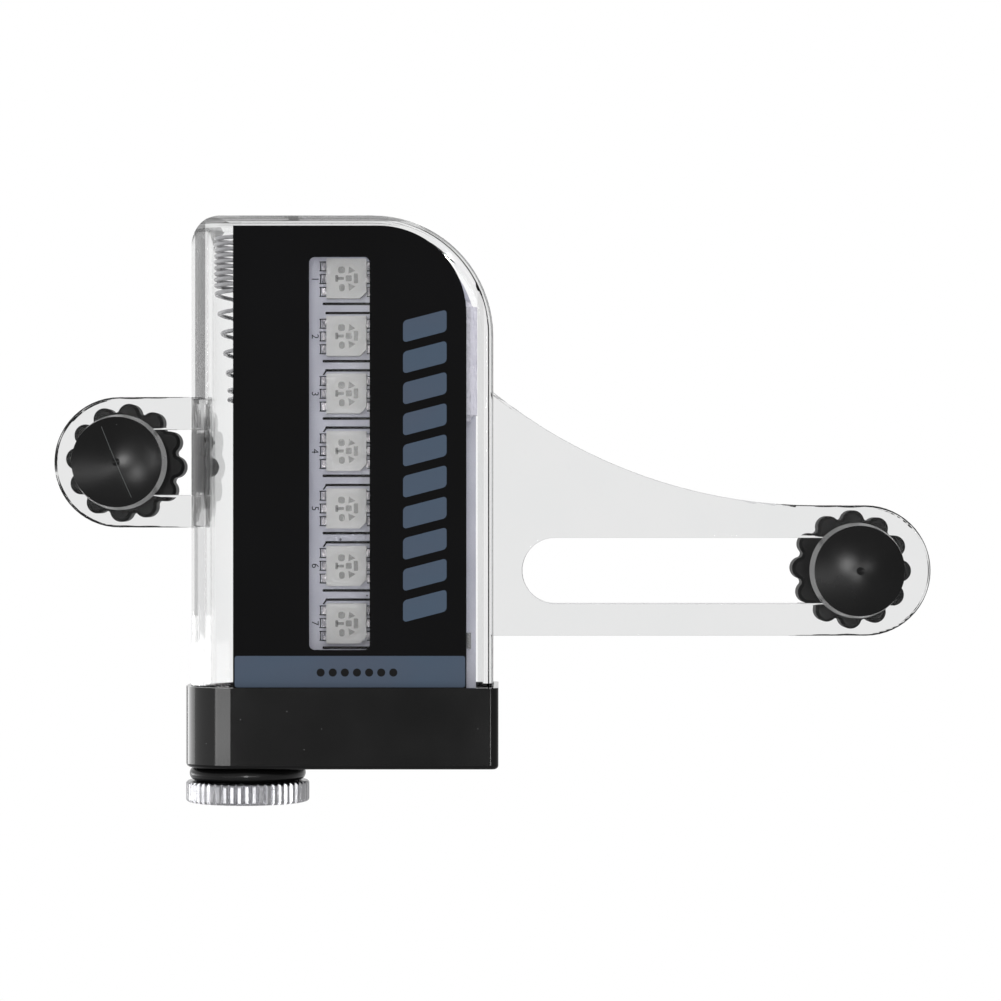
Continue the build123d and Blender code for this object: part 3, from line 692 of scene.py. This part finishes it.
slatePrint = coat("slatePrint", {
    "colour": shade(60, 73, 88), "second": shade(67, 73, 86), "roughness": 0.5, "driftScale": 90,
    "grainScale": 1600, "bump": 0.1, "plain": {"Specular IOR Level": 0.05},
})
inkBlack = coat("inkBlack", {
    "colour": shade(9, 9, 10), "second": shade(14, 14, 16), "roughness": 0.5, "grainScale": 1800,
    "plain": {"Specular IOR Level": 0.04},
})
labelMarks = {
    "film": -9.65,                                            # depth of the front label's face
    "stripe": (14.95, 43.5, -27.95, -24.05),                  # left, right, bottom, top
    "stripeCorner": 0.3,
    "barWidth": 5.4, "barHeight": 2.7, "barCorner": 0.45,
    "barRise": 1.4,                                           # the right end stands higher by this
    "barPlace": (38.5, 16.8), "barPitch": 3.85, "bars": 10,
    "dotRadius": 0.5, "dotCorner": 0.499, "dotSteps": 8,      # its corners stop short of meeting
    "dotPlace": (25.6, -26.1), "dotPitch": 1.5, "dots": 7,
}
labelFace = labelMarks["film"] - inkDepth
left, right, bottom, top = labelMarks["stripe"]
stripeShape = roundedBar(
    right - left, top - bottom, labelMarks["stripeCorner"], (left + right) / 2, (bottom + top) / 2,
)
bothFaces("label_stripe", plate(stripeShape, labelFace, inkDepth), slatePrint)

levelBar = roundedBar(labelMarks["barWidth"], labelMarks["barHeight"], labelMarks["barCorner"])
slantedBar = [(x, z + labelMarks["barRise"] * x / labelMarks["barWidth"]) for x, z in levelBar]
barShape = moved(slantedBar, *labelMarks["barPlace"])
bothFaces(
    "label_bars", plate(barShape, labelFace, inkDepth), slatePrint,
    labelMarks["bars"], (0, 0, -labelMarks["barPitch"] * mm),
)

dotShape = roundedBar(
    2 * labelMarks["dotRadius"], 2 * labelMarks["dotRadius"], labelMarks["dotCorner"],
    *labelMarks["dotPlace"], steps=labelMarks["dotSteps"],
)
bothFaces(
    "label_dots", plate(dotShape, labelFace - inkDepth, inkDepth), inkBlack,
    labelMarks["dots"], (labelMarks["dotPitch"] * mm, 0, 0),
)
print("label print made")

# marks printed on the board round each light, and the grey pads on each lens

ledRow = {
    "x": 28.57, "top": 23.0, "pitch": 7.2, "count": 7,
    "board": -3.3, "lens": -4.75,             # depths of the board's and the lenses' faces
}
ledStep = (0, 0, -ledRow["pitch"] * mm)
boardFace = ledRow["board"] - inkDepth


def onLed(outline, first=0):
    # from a light's own middle to its place, counted down from the top one
    return moved(outline, ledRow["x"], ledRow["top"] - first * ledRow["pitch"])


def boardPrint(name, outlines, first=0):
    # black print at each light from the first that has it to the last
    build = several([plate(onLed(outline, first), boardFace, inkDepth) for outline in outlines])
    bothFaces(name, build, inkBlack, ledRow["count"] - first, ledStep)


boardMarks = {
    # width, height, corner, then the middle from the light's middle
    "lineBelow": (6.0, 0.34, 0.1, -0.05, -3.1),
    "lineAbove": (5.6, 0.32, 0.1, 0.1, 2.95),
    "hook": ((-2.6, 3.07), (-2.45, 2.9), (-2.85, 2.35), (-3.05, 2.4)),
    "legPitch": 1.6,
    "legRail": (0.95, 0.13, 0.05), "railPlace": (2.98, 0.56),
    "legEnd": (0.14, 1.15, 0.05), "endPlace": 3.3,
}
boardPrint("board_lines_below", [roundedBar(*boardMarks["lineBelow"])])
boardPrint("board_lines_above", [roundedBar(*boardMarks["lineAbove"])], first=1)
boardPrint("board_hooks", [boardMarks["hook"]], first=2)
railX, railZ = boardMarks["railPlace"]
legOutlines = []
for side in (-1, 1):
    for leg in (-1, 0, 1):
        legZ = leg * boardMarks["legPitch"]
        legOutlines.append(roundedBar(*boardMarks["legRail"], side * railX, legZ + railZ))
        legOutlines.append(roundedBar(*boardMarks["legRail"], side * railX, legZ - railZ))
        legOutlines.append(roundedBar(*boardMarks["legEnd"], side * boardMarks["endPlace"], legZ))
boardPrint("board_leg_outlines", legOutlines)

padGrey = coat("padUnderLens", {
    "colour": shade(72, 72, 71), "second": shade(82, 82, 81), "roughness": 0.3, "grainScale": 1500,
    "driftScale": 900, "plain": {"Specular IOR Level": 0.3},
})
padLook = {
    "proud": 0.01,
    # rounded pads by width, height, corner and middle, and triangles by their corners
    "shapes": [
        roundedBar(0.85, 0.85, 0.3, -0.6, 1.05),
        [(0.25, 0.6), (1.15, 0.95), (0.35, 1.5)],
        roundedBar(0.9, 0.36, 0.08, -0.75, 0.0),
        roundedBar(0.36, 0.85, 0.1, -1.2, 0.0),
        roundedBar(0.75, 0.75, 0.12, 0.3, 0.02),
        roundedBar(0.55, 1.25, 0.12, 1.2, 0.02),
        roundedBar(0.7, 0.9, 0.3, -0.55, -1.15),
        [(0.25, -0.6), (1.15, -1.0), (0.35, -1.55)],
    ],
}
padFace = ledRow["lens"] - padLook["proud"]
padPlates = [plate(onLed(shape), padFace, padLook["proud"]) for shape in padLook["shapes"]]
bothFaces("lens_pads", several(padPlates), padGrey, ledRow["count"], ledStep)
print("board marks made")

# plain digits beside the lights, 1 at the top, read from the right edge

digitLook = {"size": 1.25, "x": 24.55, "halfDepth": 0.006}


def digitMesh(number, side):
    text = bpy.data.curves.new(f"digit{number}", "FONT")
    text.body = str(number)
    text.size = digitLook["size"] * mm
    text.extrude = digitLook["halfDepth"] * mm
    text.align_x = "CENTER"
    text.align_y = "CENTER"
    holder = addObject(f"digit{number}", text)
    mesh = asMesh(holder)
    bpy.data.objects.remove(holder)
    height = ledRow["top"] - (number - 1) * ledRow["pitch"]
    depth = boardFace if side == "front" else 2 * midPlane - boardFace
    turn = Matrix.Rotation(math.radians(90), 4, "X") @ Matrix.Rotation(math.radians(-90), 4, "Z")
    if side == "back":
        turn = Matrix.Rotation(math.radians(180), 4, "Z") @ turn
    mesh.transform(Matrix.Translation((digitLook["x"] * mm, depth * mm, height * mm)) @ turn)
    return mesh


def joined(meshes):
    def build(bm):
        for mesh in meshes:
            bm.from_mesh(mesh)
    return build


for side in ("front", "back"):
    digitMeshes = [digitMesh(number, side) for number in range(1, ledRow["count"] + 1)]
    digits = meshFrom(f"{side}_board_digits", joined(digitMeshes))
    digits.materials.append(inkBlack)
    piece = addObject(f"{side}_board_digits", digits)
    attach(piece, "casing")
print("digits made")

# battery spring: close coils at the top, then open coils drawn in to the tip

springLook = {
    "x": 16.04, "y": midPlane, "top": 28.1, "wire": 0.26, "sides": 12, "perTurn": 40,
    "topRadius": 4.5, "tipRadius": 3.05,
    "closeTurns": 9.0, "closePitch": 0.73,
    "openTurns": 5.0, "openPitch": 2.46,
    "tipTurns": 1.5, "tipPitch": 1.16,
    "tailEnd": 25.19, "tailDepth": -3.8, "tailBend": 1.0, "bendSteps": 8,
}


def springPoint(turn):
    look = springLook
    close = min(turn, look["closeTurns"])
    opened = min(max(turn - look["closeTurns"], 0), look["openTurns"])
    tip = max(turn - look["closeTurns"] - look["openTurns"], 0)
    radius = look["topRadius"] + opened / look["openTurns"] * (look["tipRadius"] - look["topRadius"])
    height = look["top"] - close * look["closePitch"] - opened * look["openPitch"]
    height -= tip * look["tipPitch"]
    angle = 2 * math.pi * turn
    return (look["x"] - radius * math.sin(angle), look["y"] - radius * math.cos(angle), height)


def springPoints():
    # from the tail's end at the board, round its bend and down the coils
    look = springLook
    tailY = look["y"] - look["topRadius"]
    points = [(look["tailEnd"], look["tailDepth"], look["top"])]
    for step in range(look["bendSteps"] + 1):
        angle = math.radians(90 * step / look["bendSteps"])
        points.append((
            look["tailEnd"] - look["tailBend"] * (1 - math.cos(angle)),
            tailY + look["tailBend"] * (1 - math.sin(angle)),
            look["top"],
        ))
    turns = look["closeTurns"] + look["openTurns"] + look["tipTurns"]
    for step in range(int(turns * look["perTurn"]) + 1):
        points.append(springPoint(step / look["perTurn"]))
    return points


springPath = springPoints()
springCurve = bpy.data.curves.new("wound_spring", "CURVE")
springCurve.dimensions = "3D"
spline = springCurve.splines.new("POLY")
spline.points.add(len(springPath) - 1)
for point, position in zip(spline.points, springPath):
    point.co = (*[value * mm for value in position], 1)
springSteel = coat("springSteel", {
    "colour": shade(178, 178, 180), "second": shade(150, 150, 152), "roughness": 0.22, "grainScale": 2600,
    "driftScale": 400, "bump": 0.2, "plain": {"Metallic": 0.35},
})
spring = grown(
    addObject("wound_spring", springCurve), wireTree,
    Radius=springLook["wire"] * mm, Sides=springLook["sides"], Finish=springSteel,
)
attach(spring, "casing")
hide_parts("battery_spring")
print("spring wound")

# foam pad at the board's right edge

foamLook = {
    "colour": shade(208, 207, 216), "second": shade(196, 195, 205), "roughness": 0.85, "grainScale": 900,
    "bump": 0.6, "depth": 0.00012, "plain": {"Specular IOR Level": 0.2},
    "cellScale": 2200,
    "edge": 0.8, "edgeSteps": 3,              # rounding of the block's edges, in mm
    "cells": 0.35, "longest": 1.6,            # mesh size in mm, and how far over it an edge may be
    "rounds": 3, "cuts": 2,
    "dent": 0.12, "seed": 7,                  # deepest dent in mm
}
foamLow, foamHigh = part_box("foam_pad")
random.seed(foamLook["seed"])


def foamBlock(bm):
    centre = (foamLow + foamHigh) / 2
    size = foamHigh - foamLow
    bmesh.ops.create_cube(bm, size=1, matrix=Matrix.Translation(centre) @ Matrix.Diagonal((*size, 1)))
    bmesh.ops.bevel(
        bm, geom=bm.edges[:], offset=foamLook["edge"] * mm, segments=foamLook["edgeSteps"],
        affect="EDGES",
    )
    bmesh.ops.triangulate(bm, faces=bm.faces)
    longest = foamLook["cells"] * mm * foamLook["longest"]
    for _ in range(foamLook["rounds"]):
        longEdges = [edge for edge in bm.edges if edge.calc_length() > longest]
        if longEdges:
            bmesh.ops.subdivide_edges(bm, edges=longEdges, cuts=foamLook["cuts"])
            bmesh.ops.triangulate(bm, faces=bm.faces)
    bm.normal_update()
    for vert in bm.verts:
        vert.co -= vert.normal * random.random() * foamLook["dent"] * mm


foamFinish, foamTree, _, foamBump, foamCoords = newFinish("whiteFoam", foamLook)
foamCells = node(foamTree, "ShaderNodeTexVoronoi", feature="DISTANCE_TO_EDGE")
foamCells.inputs["Scale"].default_value = foamLook["cellScale"]
wire(foamTree, foamCoords, foamCells.inputs["Vector"])
wire(foamTree, foamCells.outputs["Distance"], foamBump.inputs["Height"])
foam = addObject("foam_block", meshFrom("foam_block", foamBlock))
foam.data.materials.append(foamFinish)
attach(foam, "casing")
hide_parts("foam_pad")
print("foam made")

# floor: pale, and below the lowest reach of the cap

floorLook = {
    "colour": shade(244, 244, 244), "second": shade(240, 240, 240), "roughness": 0.7, "driftScale": 8,
    "grainScale": 300, "bump": 0.05, "plain": {"Specular IOR Level": 0.1},
    "across": (-0.35, 0.45), "away": (-0.42, 0.23), "height": -0.105,    # in m
}
floorCorners = [
    (floorLook["across"][x], floorLook["away"][y], floorLook["height"])
    for x, y in ((0, 0), (1, 0), (1, 1), (0, 1))
]
floorMesh = bpy.data.meshes.new("floor")
floorMesh.from_pydata(floorCorners, [], [(0, 1, 2, 3)])
floorMesh.materials.append(coat("paleFloor", floorLook))
floor = addObject("floor", floorMesh)
print("floor laid")
